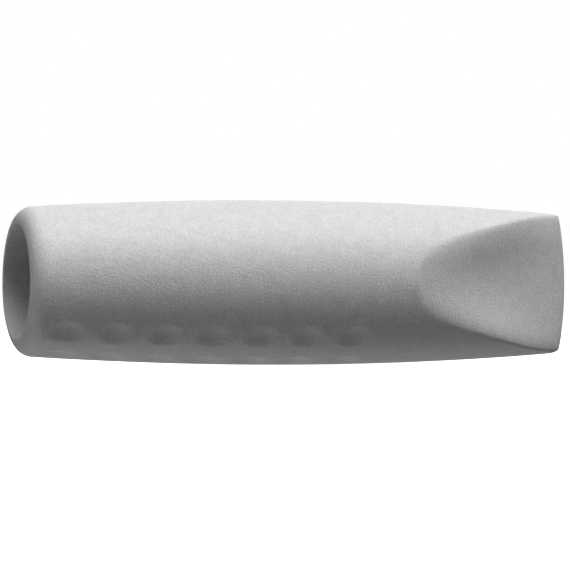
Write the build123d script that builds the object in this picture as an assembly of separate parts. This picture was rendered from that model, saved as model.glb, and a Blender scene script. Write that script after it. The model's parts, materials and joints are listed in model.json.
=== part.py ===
from build123d import *
import math
import os

# Pencil eraser topper: a round, crowned eraser cap with a pencil socket in one end and a chisel tip
# between two hollow faces at the other, with rows of shallow, dished grip dots along its underside.
# Millimetres. The cap lies along X with the centre of its mouth at the origin: the socket opens
# towards -X, the chisel tip points to +X, +Z is up, and the hollow faces look to -Y and +Y.

# Cap
length = 42.3                 # mouth to the middle of the tip's edge
middle_diameter = 12.0        # at half length, where the barrel is fattest
end_diameter = 10.5           # at the mouth and at the tip
rim_flat = 0.1                # flat ring at the mouth, between the rounded rim and the socket

# Pencil socket
socket_diameter = 8.1         # grips the corners of a hexagonal pencil, 7 mm across its flats
socket_depth = 22.0           # mouth to floor
socket_floor_chamfer = 1.5    # corner between wall and floor

# Chisel tip
hollow_length = 13.9          # along the axis, from where a hollow face starts to the tip
dished_length = 6.0           # how much of that is fully dished, before the face flattens out
hollow_radius = 11.1          # how round the dish is, seen along the face
hollow_edge_rounding = 1.0    # where a hollow face runs out into the barrel
tip_thickness = 2.1           # across the tip at mid-height
tip_dish = 0.3                # what is left of the dish at the tip
tip_bow = 0.55                # how far the tip's edge bows out between its two corners
tip_rounding = 0.7            # around the end of the tip, on a tip thick enough to take it

# Grip dots
dot_length = 2.34             # along the barrel; a dot is narrower across it
dot_dip = 0.19                # how far the dished face of a dot sinks below the barrel
dot_seat_depth = 0.6          # from the barrel's surface to the floor of a dot's seat
dots_per_row = 7
dot_pitch = 3.565             # along a row
first_dot = 2.4               # from the mouth to the middle of a row's first dot
row_count = 4                 # spread evenly about the bottom of the barrel
row_angle = 32.9              # degrees from one row to the next

# Sizes that follow from these
middle_radius = middle_diameter / 2
end_radius = end_diameter / 2
socket_radius = socket_diameter / 2
crown = middle_radius - end_radius
crown_radius = ((length / 2) ** 2 + crown**2) / (2 * crown)
rim_rounding = end_radius - socket_radius - rim_flat
hollow_start = length - hollow_length
hollow_dish = hollow_radius - math.sqrt(hollow_radius**2 - middle_radius**2)
bow_radius = (end_radius**2 + tip_bow**2) / (2 * tip_bow)
most_tip_rounding = 0.45 * tip_thickness
dish_radius = ((dot_length / 2) ** 2 + dot_dip**2) / (2 * dot_dip)
row_angles = [((row_count - 1) / 2 - row) * row_angle for row in range(row_count)]
dot_stations = [first_dot + i * dot_pitch for i in range(dots_per_row)]


def barrel_radius(x):
    """The crowned barrel's radius at a distance x from the mouth."""
    return math.sqrt(crown_radius**2 - (x - length / 2) ** 2) + middle_radius - crown_radius


def crown_line():
    """The barrel's outline, one shallow arc from mouth to tip."""
    return ThreePointArc((0, end_radius), (length / 2, middle_radius), (length, end_radius))


def turned(section):
    """A half section, drawn above the X axis, turned once around it."""
    return revolve(Plane.XZ * section, Axis.X)


def socketed_barrel():
    """The barrel with its pencil socket, rounded at the rim and chamfered at the socket's floor."""
    inside = Polyline(
        (length, end_radius),
        (length, 0),
        (socket_depth, 0),
        (socket_depth, socket_radius - socket_floor_chamfer),
        (socket_depth - socket_floor_chamfer, socket_radius),
        (0, socket_radius),
        (0, end_radius),
    )
    section = make_face(crown_line() + inside)
    rim = section.vertices().sort_by_distance((0, end_radius))[0]
    return turned(fillet(rim, rim_rounding))


def tip_trim():
    """What lies beyond the bowed end of the tip."""
    bow_x = length - bow_radius + math.sqrt(bow_radius**2 - middle_radius**2)
    bow = ThreePointArc((bow_x, -middle_radius), (length, 0), (bow_x, middle_radius))
    beyond = length + tip_bow
    outside = Polyline(
        (bow_x, middle_radius), (beyond, middle_radius), (beyond, -middle_radius), (bow_x, -middle_radius)
    )
    return extrude(Plane.XZ * make_face(bow + outside), middle_radius, both=True)


def hollow_section(x, dish):
    """All that lies in front of the front face at x, where the face dips by dish at mid-height."""
    depth_at_start = barrel_radius(hollow_start) - tip_thickness / 2
    face_y = -tip_thickness / 2 - depth_at_start * (length - x) / hollow_length
    edge_y = face_y - dish
    clear_y = edge_y - middle_diameter
    face = ThreePointArc((edge_y, -middle_radius), (face_y, 0), (edge_y, middle_radius))
    outside = Polyline(
        (edge_y, middle_radius), (clear_y, middle_radius), (clear_y, -middle_radius), (edge_y, -middle_radius)
    )
    return Plane((x, 0, 0), x_dir=(0, 1, 0), z_dir=(1, 0, 0)) * make_face(face + outside)


def front_hollow():
    """The front hollow's cutter: a thumb-print dish in the barrel's side, almost flat at the tip."""
    return loft(
        [
            hollow_section(hollow_start - dished_length, hollow_dish),
            hollow_section(hollow_start, hollow_dish),
            hollow_section(hollow_start + dished_length, hollow_dish),
            hollow_section(length, tip_dish),
            hollow_section(length + tip_thickness, tip_dish),
        ]
    )


def dot_place(x, angle):
    """The place of a dot at x, turned by angle from the bottom to the front, with Z pointing out."""
    tilt = math.degrees(math.asin((x - length / 2) / crown_radius))
    return Rot(180 - angle, 0, 0) * Pos(x, 0, barrel_radius(x)) * Rot(0, tilt, 0)


def dot_plug(x):
    """The seat of a dot, as a plug that stands proud of the barrel.

    Its outline is the oval in which a ball, sunk to the dip, cuts a barrel this round.
    """
    radius = barrel_radius(x)
    apart = radius + dish_radius - dot_dip
    chord_height = (apart**2 + radius**2 - dish_radius**2) / (2 * apart)
    half_width = math.sqrt(radius**2 - chord_height**2)
    return extrude(Pos(0, 0, -dot_seat_depth) * Ellipse(dot_length / 2, half_width), 2 * dot_seat_depth)


def grip_dot(x):
    """One dot: a plug with a dish in its outer end that runs out into the barrel."""
    ball = Pos(0, 0, dish_radius - dot_dip) * Rot(90, 0, 0) * Sphere(dish_radius)
    return (dot_plug(x) - ball).solid()


def grip_row(angle):
    """A row of dots along the barrel, each its own solid in its own seat."""
    return Compound(children=[dot_place(x, angle) * grip_dot(x) for x in dot_stations])


def eraser_cap():
    """Barrel, socket, seats and chisel tip in one piece, with every edge of the tip rounded."""
    seats = [dot_place(x, angle) * dot_plug(x) for angle in row_angles for x in dot_stations]
    front = front_hollow()
    cap = socketed_barrel() - seats - front - mirror(front, Plane.XZ)
    faces = cap.faces().filter_by(GeomType.BSPLINE).sort_by(Axis.Y)
    before_tip = hollow_start + dished_length
    run_out = [
        edge
        for face in (faces[0], faces[-1])
        for edge in face.edges()
        if edge.bounding_box().min.X < before_tip
    ]
    cap = fillet(run_out, hollow_edge_rounding) - tip_trim()
    end_face = cap.faces().sort_by(Axis.X)[-1]
    return fillet(end_face.edges(), min(tip_rounding, most_tip_rounding))


pieces = {"eraser_cap": eraser_cap()}
for row, angle in enumerate(row_angles, 1):
    pieces[f"grip_dots_row_{row}"] = grip_row(angle)

os.makedirs("parts", exist_ok=True)
for name, piece in pieces.items():
    export_step(piece, f"parts/{name}.step")
    box = piece.bounding_box()
    print(name, len(piece.solids()), "solid(s)", round(sum(s.volume for s in piece.solids()), 2), "mm3", box)
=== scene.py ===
# %% [markdown]
# # A pencil eraser topper
#
# A slip-on eraser cap lies on its side: one moulding of matte grey rubber, open at the left for a
# pencil and pinched to a chisel at the right between two hollow faces. Shallow round dimples on its
# underside give the fingers grip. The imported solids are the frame: they fix every size and place, and
# this script lays a finer skin over them, so the first step is to load them and to note their box.

# %% Load the frame
import json
import math

import bmesh
import bpy
from mathutils import Matrix, Vector


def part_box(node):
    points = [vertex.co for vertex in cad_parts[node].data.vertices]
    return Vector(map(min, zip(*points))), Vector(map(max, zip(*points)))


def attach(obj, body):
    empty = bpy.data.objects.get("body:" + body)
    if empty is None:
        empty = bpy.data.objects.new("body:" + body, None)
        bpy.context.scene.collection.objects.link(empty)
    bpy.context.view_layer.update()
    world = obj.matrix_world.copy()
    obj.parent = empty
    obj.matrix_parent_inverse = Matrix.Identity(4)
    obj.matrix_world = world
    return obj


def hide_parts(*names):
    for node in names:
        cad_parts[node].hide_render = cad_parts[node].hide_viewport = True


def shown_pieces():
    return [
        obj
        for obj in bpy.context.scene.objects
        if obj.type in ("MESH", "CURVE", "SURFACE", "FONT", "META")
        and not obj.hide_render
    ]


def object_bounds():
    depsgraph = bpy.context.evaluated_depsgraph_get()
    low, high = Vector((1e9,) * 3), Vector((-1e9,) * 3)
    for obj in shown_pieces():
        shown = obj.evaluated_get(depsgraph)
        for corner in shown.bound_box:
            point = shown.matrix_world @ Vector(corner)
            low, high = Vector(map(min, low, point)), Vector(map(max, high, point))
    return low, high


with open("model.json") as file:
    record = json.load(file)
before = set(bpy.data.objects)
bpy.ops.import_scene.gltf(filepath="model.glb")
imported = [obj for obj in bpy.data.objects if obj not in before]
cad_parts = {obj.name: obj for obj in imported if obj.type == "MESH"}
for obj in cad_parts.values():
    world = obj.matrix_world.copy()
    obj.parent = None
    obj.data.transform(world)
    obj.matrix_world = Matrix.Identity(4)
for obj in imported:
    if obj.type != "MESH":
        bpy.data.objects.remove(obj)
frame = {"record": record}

cad_low, cad_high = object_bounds()
print("CAD box, mm:", [round(v * 1000, 2) for v in (*cad_low, *cad_high)])

# %% [markdown]
# ## Sizes
#
# The length, the fattest radius and the socket's radius come from the frame. The other sizes follow
# the solids and are written in metres, each where it is first needed. The barrel is crowned like a
# cask: its outline is one long, shallow arc from mouth to tip.

# %% Sizes of the cap
MM = 0.001
cap_low, cap_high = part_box("eraser_cap")
LENGTH = cap_high.x - cap_low.x
MIDDLE_RADIUS = cap_high.z
END_RADIUS = 5.25 * MM
socket_mount = next(m for m in frame["record"]["mounts"] if m["name"] == "socket")
SOCKET_RADIUS = socket_mount["dims"]["r_mm"] * MM
SOCKET_DEPTH = 22.0 * MM
CROWN = MIDDLE_RADIUS - END_RADIUS
CROWN_RADIUS = ((LENGTH / 2) ** 2 + CROWN**2) / (2 * CROWN)


def barrel_radius(x):
    """Radius of the crowned barrel at a distance x from the mouth."""
    return math.sqrt(CROWN_RADIUS**2 - (x - LENGTH / 2) ** 2) + MIDDLE_RADIUS - CROWN_RADIUS


print("length", round(LENGTH / MM, 2), "crown radius", round(CROWN_RADIUS / MM, 1), "mm")

# %% [markdown]
# ## The hollow faces
#
# Each side of the chisel leans in towards the tip. It is dished like a thumb print where it leaves
# the barrel and dies away to nearly flat at the tip. Two cutters and a bevel could make it, but the
# bevel would have to widen on its way. So the skin is measured along rays from the axis, where it
# lies at the nearer of two surfaces, the barrel and the hollow. A soft minimum of the two rounds the
# edge between them: crisply where the hollow starts, and more and more broadly towards the tip,
# above more than below.

# %% Reach of the skin from the axis
HOLLOW_LENGTH = 13.9 * MM
HOLLOW_RADIUS = 11.1 * MM
HOLLOW_CREASE = 0.25 * MM
TOP_SHOULDER = 1.9 * MM
BOTTOM_SHOULDER = 1.15 * MM
FLAT_FROM = 0.35
TIP_FLATNESS = 0.82
TIP_HALF = 1.05 * MM
HOLLOW_START = LENGTH - HOLLOW_LENGTH
HOLLOW_SLOPE = (barrel_radius(HOLLOW_START) - TIP_HALF) / HOLLOW_LENGTH


def eased(share):
    """A share from 0 to 1 that starts and ends gently."""
    share = min(max(share, 0), 1)
    return share * share * (3 - 2 * share)


def hollow_share(x):
    """How far along the hollow a station is: 0 where it starts and 1 at the tip."""
    return max(x - HOLLOW_START, 0) / HOLLOW_LENGTH


def hollow_reach(x, angle):
    """Distance from the axis to a hollow face, along a ray at an angle from the face's middle."""
    half = TIP_HALF + (LENGTH - x) * HOLLOW_SLOPE
    flatness = TIP_FLATNESS * eased((hollow_share(x) - FLAT_FROM) / (1 - FLAT_FROM))
    across = abs(math.cos(angle))
    dish = (1 - flatness) / HOLLOW_RADIUS * math.sin(angle) ** 2 / 2
    inside = across**2 - 4 * dish * half
    if inside <= 0:
        return math.inf
    return 2 * half / (across + math.sqrt(inside))


def softer(a, b, width):
    """The smaller of two lengths, eased where they come within a width of each other."""
    near = max(width - abs(a - b), 0) / width
    return min(a, b) - near * near * width / 4


def skin_reach(x, angle):
    """Distance from the axis to the skin of the cap, without its dots."""
    barrel = barrel_radius(x)
    hollow = hollow_reach(x, angle)
    if hollow == math.inf:
        return barrel
    above = (1 + math.sin(angle)) / 2
    shoulder = TOP_SHOULDER * above + BOTTOM_SHOULDER * (1 - above)
    return softer(barrel, hollow, HOLLOW_CREASE + shoulder * math.sqrt(hollow_share(x)))


print("the hollow faces lean", round(math.degrees(math.atan(HOLLOW_SLOPE)), 1), "degrees to the axis")

# %% [markdown]
# ## The grip dots
#
# The dots lie in straight rows along the underside. Each is the print of a ball pressed into the
# barrel, which makes it an oval, longer along the barrel than across it. The same soft minimum sets
# the dish into the barrel and rounds its edge a little.

# %% Reach of a dot's dish
DOT_LENGTH = 2.34 * MM
DOT_DIP = 0.19 * MM
DOT_EDGE = 0.12 * MM
DOT_PITCH = 3.565 * MM
FIRST_DOT = 2.4 * MM
DOTS_PER_ROW = 7
ROWS = 4
ROW_ANGLE = math.radians(32.9)
DISH_RADIUS = ((DOT_LENGTH / 2) ** 2 + DOT_DIP**2) / (2 * DOT_DIP)
dot_stations = [FIRST_DOT + i * DOT_PITCH for i in range(DOTS_PER_ROW)]
row_angles = [((ROWS - 1) / 2 - row) * ROW_ANGLE for row in range(ROWS)]


def ball_height(station):
    """Distance from the axis to the middle of the ball that prints a dot."""
    return barrel_radius(station) + DISH_RADIUS - DOT_DIP


def dish_reach(station, along, turn):
    """Distance from the axis to a dot's dish, along a ray that passes its middle at some distance."""
    height = ball_height(station)
    half_chord = DISH_RADIUS**2 - along**2 - (height * math.sin(turn)) ** 2
    if half_chord < 0:
        return math.inf
    return height * math.cos(turn) - math.sqrt(half_chord)


def dotted_reach(station, along, turn):
    """Distance from the axis to the barrel with one dot in it."""
    barrel = barrel_radius(station + along)
    dish = dish_reach(station, along, turn)
    return barrel if dish == math.inf else softer(barrel, dish, DOT_EDGE)


print(ROWS * DOTS_PER_ROW, "dots, each the print of a ball of radius", round(DISH_RADIUS / MM, 2), "mm")

# %% [markdown]
# ## The cap's skin
#
# The cap could be carved from a block, but it is round nearly everywhere, so it starts as a lathe
# job: a half section of six corners, with its rim, tip and socket rounded by vertex bevels, is cut
# into short runs and spun around the axis.

# %% Spin the half section
SPOKES = 320
BARREL_RUNS = 210
SOCKET_RUNS = 31
SOCKET_FLOOR_RUNS = 6
TIP_ROUNDING = 0.75 * MM
TIP_STEPS = 8
RIM_ROUNDING = 1.1 * MM
RIM_STEPS = 20
MOUTH_EDGE = 0.14 * MM
MOUTH_STEPS = 3
SOCKET_FLOOR_ROUNDING = 1.5 * MM
SOCKET_FLOOR_STEPS = 8
TINY = 1e-6


def half_section(bm):
    """Draws the half section as a wire: socket floor and wall, mouth, barrel, end of the tip."""
    corners = [
        (SOCKET_DEPTH, 0),
        (SOCKET_DEPTH, SOCKET_RADIUS),
        (0, SOCKET_RADIUS),
        (0, END_RADIUS),
        (LENGTH, END_RADIUS),
        (LENGTH, 0),
    ]
    verts = [bm.verts.new((x, 0, r)) for x, r in corners]
    for pair in zip(verts, verts[1:]):
        bm.edges.new(pair)
    for vert, size, steps in (
        (verts[4], TIP_ROUNDING, TIP_STEPS),
        (verts[3], RIM_ROUNDING, RIM_STEPS),
        (verts[2], MOUTH_EDGE, MOUTH_STEPS),
        (verts[1], SOCKET_FLOOR_ROUNDING, SOCKET_FLOOR_STEPS),
    ):
        bmesh.ops.bevel(
            bm, geom=[vert], offset=size, offset_type="OFFSET", segments=steps,
            profile=0.5, affect="VERTICES", material=-1,
        )
    for edge in bm.edges[:]:
        a, b = (v.co for v in edge.verts)
        if abs(a.x - b.x) > LENGTH / 2:
            bmesh.ops.subdivide_edges(bm, edges=[edge], cuts=BARREL_RUNS - 1)
        elif abs(a.x - b.x) > SOCKET_DEPTH / 2:
            bmesh.ops.subdivide_edges(bm, edges=[edge], cuts=SOCKET_RUNS - 1)
        elif abs(a.z - b.z) > SOCKET_RADIUS / 2:
            bmesh.ops.subdivide_edges(bm, edges=[edge], cuts=SOCKET_FLOOR_RUNS - 1)


def spun_cap():
    """The half section, spun into a closed shell."""
    bm = bmesh.new()
    half_section(bm)
    bmesh.ops.spin(
        bm, geom=bm.verts[:] + bm.edges[:], cent=(0, 0, 0), axis=(1, 0, 0), dvec=(0, 0, 0),
        angle=math.tau, steps=SPOKES, use_merge=True,
    )
    bmesh.ops.remove_doubles(bm, verts=bm.verts, dist=TINY)
    bmesh.ops.recalc_face_normals(bm, faces=bm.faces)
    return bm


bm = spun_cap()
print("the spun cap has", len(bm.verts), "vertices")

# %% [markdown]
# ## Pressing the skin to shape
#
# Now each vertex of the outside moves in or out to the skin's reach, which crowns the barrel and
# presses in the two hollows and a seat for each dot. The spokes are spaced closer above and below,
# where the hollows' edges run. The end of the tip is squeezed to the same outline and bowed a
# little, with a sharper corner above than below.

# %% Press the cap
SPOKE_CROWDING = 0.35
TIP_BOW_RADIUS = 25.3 * MM
TOP_CORNER = 0.3
BOTTOM_CORNER = 0.85
SEAT_CLEARANCE = 0.05 * MM


def on_outside(vert):
    """True for the barrel, the rim and the tip, and false inside the socket."""
    around = math.hypot(vert.co.y, vert.co.z)
    return around > SOCKET_RADIUS + TINY or vert.co.x > SOCKET_DEPTH + TINY


def seat_reach(x, angle):
    """Distance from the axis to the barrel with a seat for each dot, a little deeper than its dish."""
    station = min(dot_stations, key=lambda s: abs(x - s))
    below = angle + math.pi / 2
    turn = min((math.remainder(below - row, math.tau) for row in row_angles), key=abs)
    barrel, dotted = barrel_radius(x), dotted_reach(station, x - station, turn)
    return dotted - SEAT_CLEARANCE * eased(2 * (barrel - dotted) / DOT_DIP)


def press_to_shape(vert):
    """Moves one spun vertex of the outside to the crowned and hollowed skin."""
    x, around = vert.co.x, math.hypot(vert.co.y, vert.co.z)
    angle = math.atan2(vert.co.z, -vert.co.y)
    angle += SPOKE_CROWDING / 2 * math.sin(2 * angle)
    reach = seat_reach(x, angle) if x < HOLLOW_START else skin_reach(x, angle)
    out, up = reach * math.cos(angle), reach * math.sin(angle)
    if x < HOLLOW_START:
        vert.co = (x, -out * around / END_RADIUS, up * around / END_RADIUS)
        return
    inset = min(END_RADIUS - around, TIP_ROUNDING)
    share = min(around / (END_RADIUS - TIP_ROUNDING), 1)
    corner = TOP_CORNER if up > 0 else BOTTOM_CORNER
    out *= share * (1 - inset / skin_reach(x, 0))
    up *= share * (1 - inset * corner / skin_reach(x, math.pi / 2))
    bow = hollow_share(x) ** 2 * up**2 / (2 * TIP_BOW_RADIUS)
    vert.co = (x - bow, -out, up)


outside = [vert for vert in bm.verts if on_outside(vert)]
for vert in outside:
    press_to_shape(vert)
print(len(outside), "vertices pressed to shape")

# %% [markdown]
# ## From mesh to piece
#
# A finished mesh becomes an object at the origin, shaded smooth. It rides on the frame's only body
# and stands for the CAD nodes that it covers, which it hides.

# %% The cap as a piece
scene = bpy.context.scene


def new_piece(bm, name, slot, *nodes):
    """Turns a bmesh into a smooth piece that rides on the frame in place of some of its nodes."""
    mesh = bpy.data.meshes.new(name)
    bm.to_mesh(mesh)
    bm.free()
    mesh.shade_smooth()
    piece = bpy.data.objects.new(name, mesh)
    scene.collection.objects.link(piece)
    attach(piece, "root")
    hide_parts(*nodes)
    print(name, "has", len(mesh.polygons), "faces")


new_piece(bm, "eraser_skin", "eraser_rubber", "eraser_cap")

# %% [markdown]
# ## The dots' own pieces
#
# Each row of dots is one piece and stands for its CAD row. A dot starts as a flat disc of rings and
# spokes, spun at the origin. It is stretched to the dish's oval and wrapped onto the barrel, where
# its rings sink into the dish. Outside the dish a thin collar lies a hair's breadth over the skin,
# and its outermost ring dips under, so that no seam shows. Last, the disc gets a thickness inwards,
# which closes it and lets it lie in its seat.

# %% Grip dots
DOT_RINGS = 24
DOT_SPOKES = 48
COLLAR = 1.4
OUTERMOST = COLLAR * (DOT_RINGS - 0.5) / DOT_RINGS
HAIR = 0.002 * MM
DOT_THICKNESS = 0.04 * MM


def flat_dot(bm):
    """Spins one flat disc that faces up, with the dish's edge at radius 1, and returns its vertices."""
    before = set(bm.verts)
    spoke = [bm.verts.new((COLLAR * i / DOT_RINGS, 0, 0)) for i in range(DOT_RINGS + 1)]
    edges = [bm.edges.new(pair) for pair in zip(spoke, spoke[1:])]
    bmesh.ops.spin(
        bm, geom=spoke + edges, cent=(0, 0, 0), axis=(0, 0, 1), dvec=(0, 0, 0),
        angle=math.tau, steps=DOT_SPOKES, use_merge=True,
    )
    bmesh.ops.remove_doubles(bm, verts=[v for v in bm.verts if v not in before], dist=TINY)
    faces = [face for face in bm.faces if face.verts[0] not in before]
    bmesh.ops.recalc_face_normals(bm, faces=faces)
    if faces[0].normal.z < 0:
        bmesh.ops.reverse_faces(bm, faces=faces)
    return [v for v in bm.verts if v not in before]


def dish_half_turn(station):
    """Half the angle that a dish spans around the barrel."""
    radius, height = barrel_radius(station), ball_height(station)
    return math.acos((height**2 + radius**2 - DISH_RADIUS**2) / (2 * height * radius))


def rim_share(x):
    """The barrel's share that is left where the rim rounds it off at the mouth."""
    inside = max(RIM_ROUNDING - x, 0)
    return 1 - (RIM_ROUNDING - math.sqrt(RIM_ROUNDING**2 - inside**2)) / END_RADIUS


def press_dot(verts, station, row_angle):
    """Wraps a flat disc onto the barrel and presses the dish into it."""
    half_turn = dish_half_turn(station)
    for vert in verts:
        along, turn = vert.co.x * DOT_LENGTH / 2, vert.co.y * half_turn
        reach = dotted_reach(station, along, turn) * rim_share(station + along)
        reach += -HAIR if vert.co.length > OUTERMOST else HAIR
        angle = row_angle + turn
        vert.co = (station + along, -reach * math.sin(angle), -reach * math.cos(angle))


for row, row_angle in enumerate(row_angles, 1):
    bm = bmesh.new()
    for station in dot_stations:
        press_dot(flat_dot(bm), station, row_angle)
    bm.normal_update()
    bmesh.ops.solidify(bm, geom=bm.faces[:], thickness=DOT_THICKNESS)
    new_piece(bm, f"grip_dots_{row}", "dot_rubber", f"grip_dots_row_{row}")

# %% [markdown]
# ## The rubber's grain
#
# Eraser rubber is nearly neutral grey and finely grained: chalky filler and the mould's sandblasted
# wall leave specks a tenth of a millimetre across, lighter and darker, over a mottle of about a
# millimetre. A picture of rubber would need a seam somewhere. Noise on Object coordinates needs none
# and runs on from the cap to the dots, so one node group makes both from noise.

# %% Grain group
SPECK_SCALE = 7000.0
SPECK_RANGE = (0.25, 0.75)
SPECK_SHADES = (0.82, 1.18)
MOTTLE_SCALE = 1200.0
MOTTLE_RANGE = (0.3, 0.7)
MOTTLE_SHADES = (0.96, 1.04)


def node(tree, kind, **inputs):
    """Adds a node and sets its inputs by name, with a blank for each underscore."""
    made = tree.nodes.new(kind)
    for name, value in inputs.items():
        made.inputs[name.replace("_", " ")].default_value = value
    return made


def shade_of(tree, noise, noise_range, shades):
    """Spreads a noise texture over a range of shades around 1."""
    made = node(
        tree, "ShaderNodeMapRange",
        From_Min=noise_range[0], From_Max=noise_range[1], To_Min=shades[0], To_Max=shades[1],
    )
    tree.links.new(noise.outputs["Fac"], made.inputs["Value"])
    return made.outputs["Result"]


def grain_group():
    """Specks and mottle of moulded rubber: a shade around 1 and a height for the bump."""
    tree = bpy.data.node_groups.new("rubber_grain", "ShaderNodeTree")
    for name in ("Shade", "Height"):
        tree.interface.new_socket(name, in_out="OUTPUT", socket_type="NodeSocketFloat")
    out = node(tree, "NodeGroupOutput")
    where = node(tree, "ShaderNodeTexCoord")
    specks = node(tree, "ShaderNodeTexNoise", Scale=SPECK_SCALE, Detail=3.0, Roughness=0.6)
    mottle = node(tree, "ShaderNodeTexNoise", Scale=MOTTLE_SCALE, Detail=2.0, Roughness=0.5)
    for noise in (specks, mottle):
        tree.links.new(where.outputs["Object"], noise.inputs["Vector"])
    both = node(tree, "ShaderNodeMath")
    both.operation = "MULTIPLY"
    tree.links.new(shade_of(tree, specks, SPECK_RANGE, SPECK_SHADES), both.inputs[0])
    tree.links.new(shade_of(tree, mottle, MOTTLE_RANGE, MOTTLE_SHADES), both.inputs[1])
    tree.links.new(both.outputs[0], out.inputs["Shade"])
    tree.links.new(specks.outputs["Fac"], out.inputs["Height"])
    return tree


rubber_grain = grain_group()
print("grain group with", len(rubber_grain.nodes), "nodes")

# %% [markdown]
# ## The rubber
#
# The cap and its dots are one moulding, so they share one material. It is matte, with a broad, faint
# sheen where the light comes from above. The grain's shade tints the grey, and its height roughens
# the surface through a bump, which shows most where the light grazes the barrel.

# %% Rubber material
RUBBER_GREY = (0.55, 0.55, 0.55, 1.0)
RUBBER_ROUGHNESS = 0.6
RUBBER_SHEEN = 0.8
GRAIN_HEIGHT = 0.045 * MM


def rubber(name):
    """Matte grey eraser rubber."""
    material = bpy.data.materials.new(name)
    material.use_nodes = True
    tree = material.node_tree
    shader = tree.nodes["Principled BSDF"]
    shader.inputs["Roughness"].default_value = RUBBER_ROUGHNESS
    shader.inputs["Specular IOR Level"].default_value = RUBBER_SHEEN
    grain = node(tree, "ShaderNodeGroup")
    grain.node_tree = rubber_grain
    tint = node(tree, "ShaderNodeMix")
    tint.data_type = "RGBA"
    tint.blend_type = "MULTIPLY"
    tint.inputs["Factor"].default_value = 1.0
    tint.inputs["A"].default_value = RUBBER_GREY
    bump = node(tree, "ShaderNodeBump", Strength=1.0, Distance=GRAIN_HEIGHT)
    tree.links.new(grain.outputs["Shade"], tint.inputs["B"])
    tree.links.new(tint.outputs["Result"], shader.inputs["Base Color"])
    tree.links.new(grain.outputs["Height"], bump.inputs["Height"])
    tree.links.new(bump.outputs["Normal"], shader.inputs["Normal"])
    return material


eraser_grey = rubber("eraser_grey")
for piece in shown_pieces():
    piece.data.materials.clear()
    piece.data.materials.append(eraser_grey)

# %% [markdown]
# ## The floor
#
# The cap lies on a plain white table. A table that blocks light would leave the underside in the
# dark, and that is where the dots are. So it is a light table: it glows for the camera alone, and the
# softboxes below it light the cap through it.

# %% Floor
FLOOR_HALF = 2.0
WHITE = (1.0, 1.0, 1.0, 1.0)
bm = bmesh.new()
bmesh.ops.create_grid(bm, x_segments=4, y_segments=4, size=FLOOR_HALF)
floor_mesh = bpy.data.meshes.new("floor")
bm.to_mesh(floor_mesh)
bm.free()
floor_mesh.transform(Matrix.Translation((LENGTH / 2, 0, cad_low.z)))
floor = bpy.data.objects.new("floor", floor_mesh)
scene.collection.objects.link(floor)
floor.visible_diffuse = False
floor.visible_glossy = False
floor.visible_shadow = False
lit_floor = bpy.data.materials.new("lit_floor")
lit_floor.use_nodes = True
glow = lit_floor.node_tree.nodes["Principled BSDF"]
glow.inputs["Emission Color"].default_value = WHITE
glow.inputs["Emission Strength"].default_value = 1.0
floor_mesh.materials.append(lit_floor)
print("floor at", round(cad_low.z / MM, 2), "mm")

# %% [markdown]
# ## The studio light
#
# The photograph has no hard shadow, so the lamps are large square softboxes, all at one distance.
# Three of them stand above and to the right, two at the left light the mouth, one behind rims the
# upper outline, and two below draw the dots. A little tint in them gives the warmer tip and the cooler
# barrel.

# %% Softboxes
LIGHT_DISTANCE = 0.6
LIGHT_SIZE = 0.4
NEUTRAL = (1.0, 1.0, 1.0)
WARM = (1.0, 0.925, 0.9)
COOL = (0.89, 0.975, 1.0)
cap_middle = Vector((LENGTH / 2, 0, 0))


def look_at(thing, target, azimuth, elevation, distance):
    """Puts a lamp or camera at an azimuth and an elevation, in degrees, and turns it to its target."""
    a, e = math.radians(azimuth), math.radians(elevation)
    back = Vector((math.sin(a) * math.cos(e), -math.cos(a) * math.cos(e), math.sin(e)))
    thing.location = target + back * distance
    thing.rotation_euler = (-back).to_track_quat("-Z", "Y").to_euler()
    scene.collection.objects.link(thing)


def softbox(name, azimuth, elevation, power, tint):
    """A square area light that looks at the cap."""
    data = bpy.data.lights.new(name, "AREA")
    data.shape = "SQUARE"
    data.size = LIGHT_SIZE
    data.energy = power
    data.color = tint
    look_at(bpy.data.objects.new(name, data), cap_middle, azimuth, elevation, LIGHT_DISTANCE)


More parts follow.
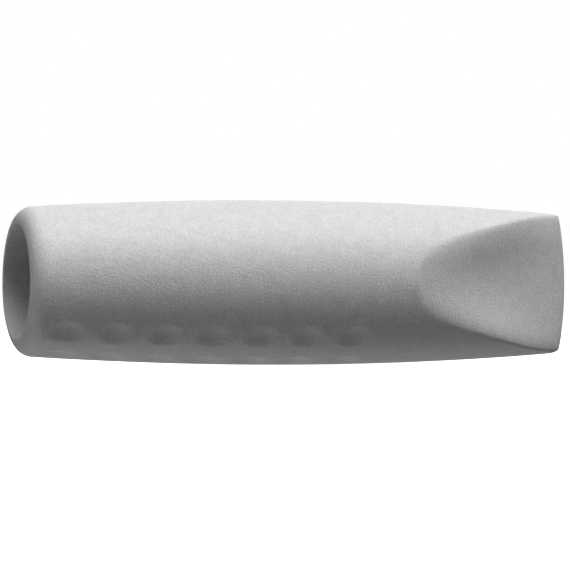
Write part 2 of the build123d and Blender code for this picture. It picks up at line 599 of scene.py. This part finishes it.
softbox("top", 0, 75, 1.98, COOL)
softbox("right_key", 45, 60, 1.98, WARM)
softbox("front_key", 30, 50, 0.83, WARM)
softbox("left_fill", -45, 66, 0.6, WARM)
softbox("left", -78, 33, 0.25, NEUTRAL)
softbox("below_back", 180, -60, 0.7, NEUTRAL)
softbox("below_left", -90, -45, 0.505, NEUTRAL)
softbox("behind", 165, 25, 0.7, NEUTRAL)
print(len(bpy.data.lights), "softboxes")

# %% [markdown]
# ## The surroundings
#
# A weak, even light from all sides fills the socket. The camera sees these surroundings as plain
# white, which a Light Path node tells apart from the light that they give.

# %% World
AMBIENT_TINT = (0.93, 0.965, 1.0, 1.0)
AMBIENT = 0.107
scene.view_settings.view_transform = "Standard"
world = bpy.data.worlds.new("studio")
world.use_nodes = True
scene.world = world
tree = world.node_tree
ambient = tree.nodes["Background"]
ambient.inputs["Color"].default_value = AMBIENT_TINT
ambient.inputs["Strength"].default_value = AMBIENT
backdrop = node(tree, "ShaderNodeBackground", Color=WHITE)
path = node(tree, "ShaderNodeLightPath")
mix = node(tree, "ShaderNodeMixShader")
tree.links.new(path.outputs["Is Camera Ray"], mix.inputs["Fac"])
tree.links.new(ambient.outputs["Background"], mix.inputs[1])
tree.links.new(backdrop.outputs["Background"], mix.inputs[2])
tree.links.new(mix.outputs["Shader"], tree.nodes["World Output"].inputs["Surface"])
print("ambient light", AMBIENT, "with a white backdrop")

# %% [markdown]
# ## The camera
#
# The camera stands where the photograph's did: level with the cap, a little to the left, so that the
# mouth just opens to view. Its focal length was measured in pixels of the photograph, and the width
# of the sensor turns it into Blender's millimetres.

# %% Camera
CAMERA_AZIMUTH = -19.32
CAMERA_ELEVATION = -0.6
CAMERA_DISTANCE = 189.9 * MM
PHOTO_PIXELS = 570
FOCAL_PIXELS = 2600
AIM = Vector((20.08 * MM, 0, -0.175 * MM))
NEAREST = 0.01

camera_data = bpy.data.cameras.new("camera")
camera_data.lens = camera_data.sensor_width * FOCAL_PIXELS / PHOTO_PIXELS
camera_data.clip_start = NEAREST
camera = bpy.data.objects.new("camera", camera_data)
look_at(camera, AIM, CAMERA_AZIMUTH, CAMERA_ELEVATION, CAMERA_DISTANCE)
scene.camera = camera
print("lens", round(camera_data.lens, 1), "mm")
